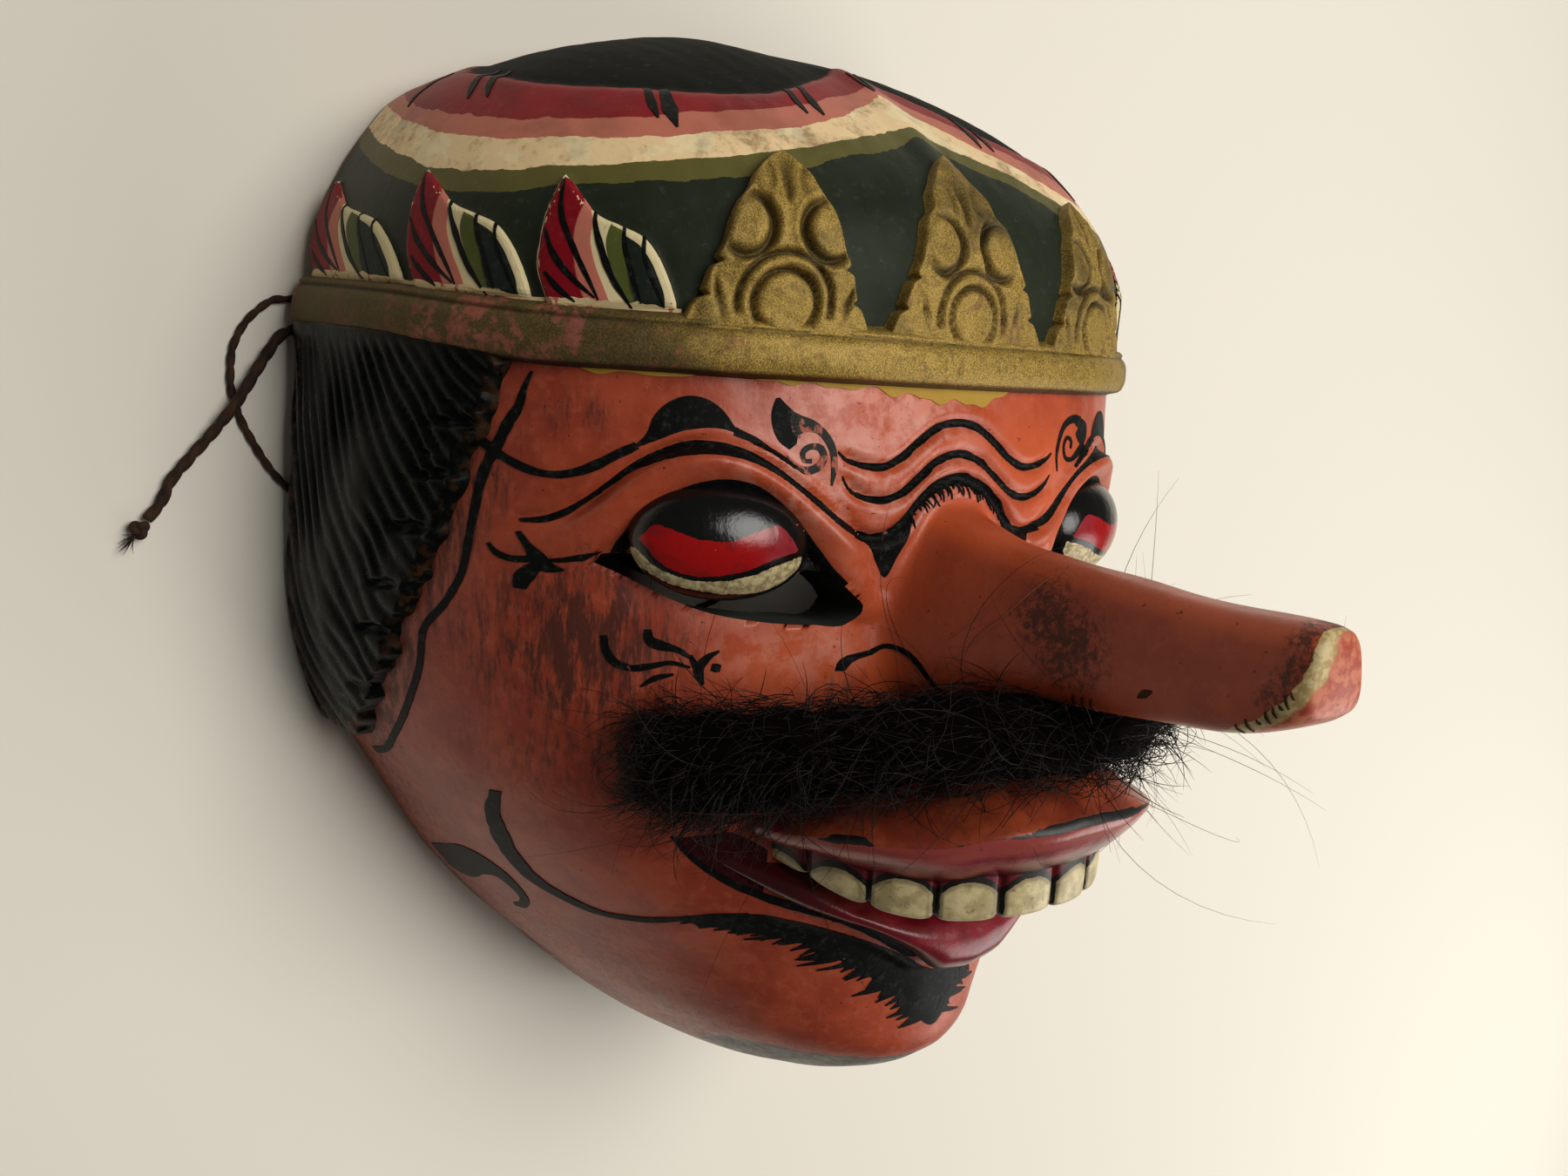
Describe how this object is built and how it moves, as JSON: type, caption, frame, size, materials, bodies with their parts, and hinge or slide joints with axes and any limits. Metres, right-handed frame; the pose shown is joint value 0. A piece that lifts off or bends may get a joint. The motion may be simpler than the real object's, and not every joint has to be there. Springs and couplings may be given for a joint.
{
  "type": "long-nosed wooden dance mask",
  "caption": "Carved and painted wooden dance mask with a long straight nose, bared teeth, a gilt crown band, a fur moustache and a tie cord, lying on its back rim.",
  "frame": {"origin": "in the plane of the back rim, under the middle of the mask", "axes": "+Z out of the face, along the nose; +Y towards the crown; +X towards a viewer's right"},
  "size_m": [0.1804, 0.189, 0.145],
  "materials": {
    "painted_wood": "light carved wood under thin glossy paint, brick red face, dark green and striped cloth, speckled gold, worn at the edges",
    "dark_fur": "coarse black-brown animal fur on a glued strip",
    "brown_twine": "dull dark brown two-ply twine"
  },
  "bodies": {
    "root": {"mask": "painted_wood", "moustache": "dark_fur", "cord": "brown_twine", "cord_tail": "brown_twine", "cord_knot": "brown_twine"}
  },
  "joints": []
}
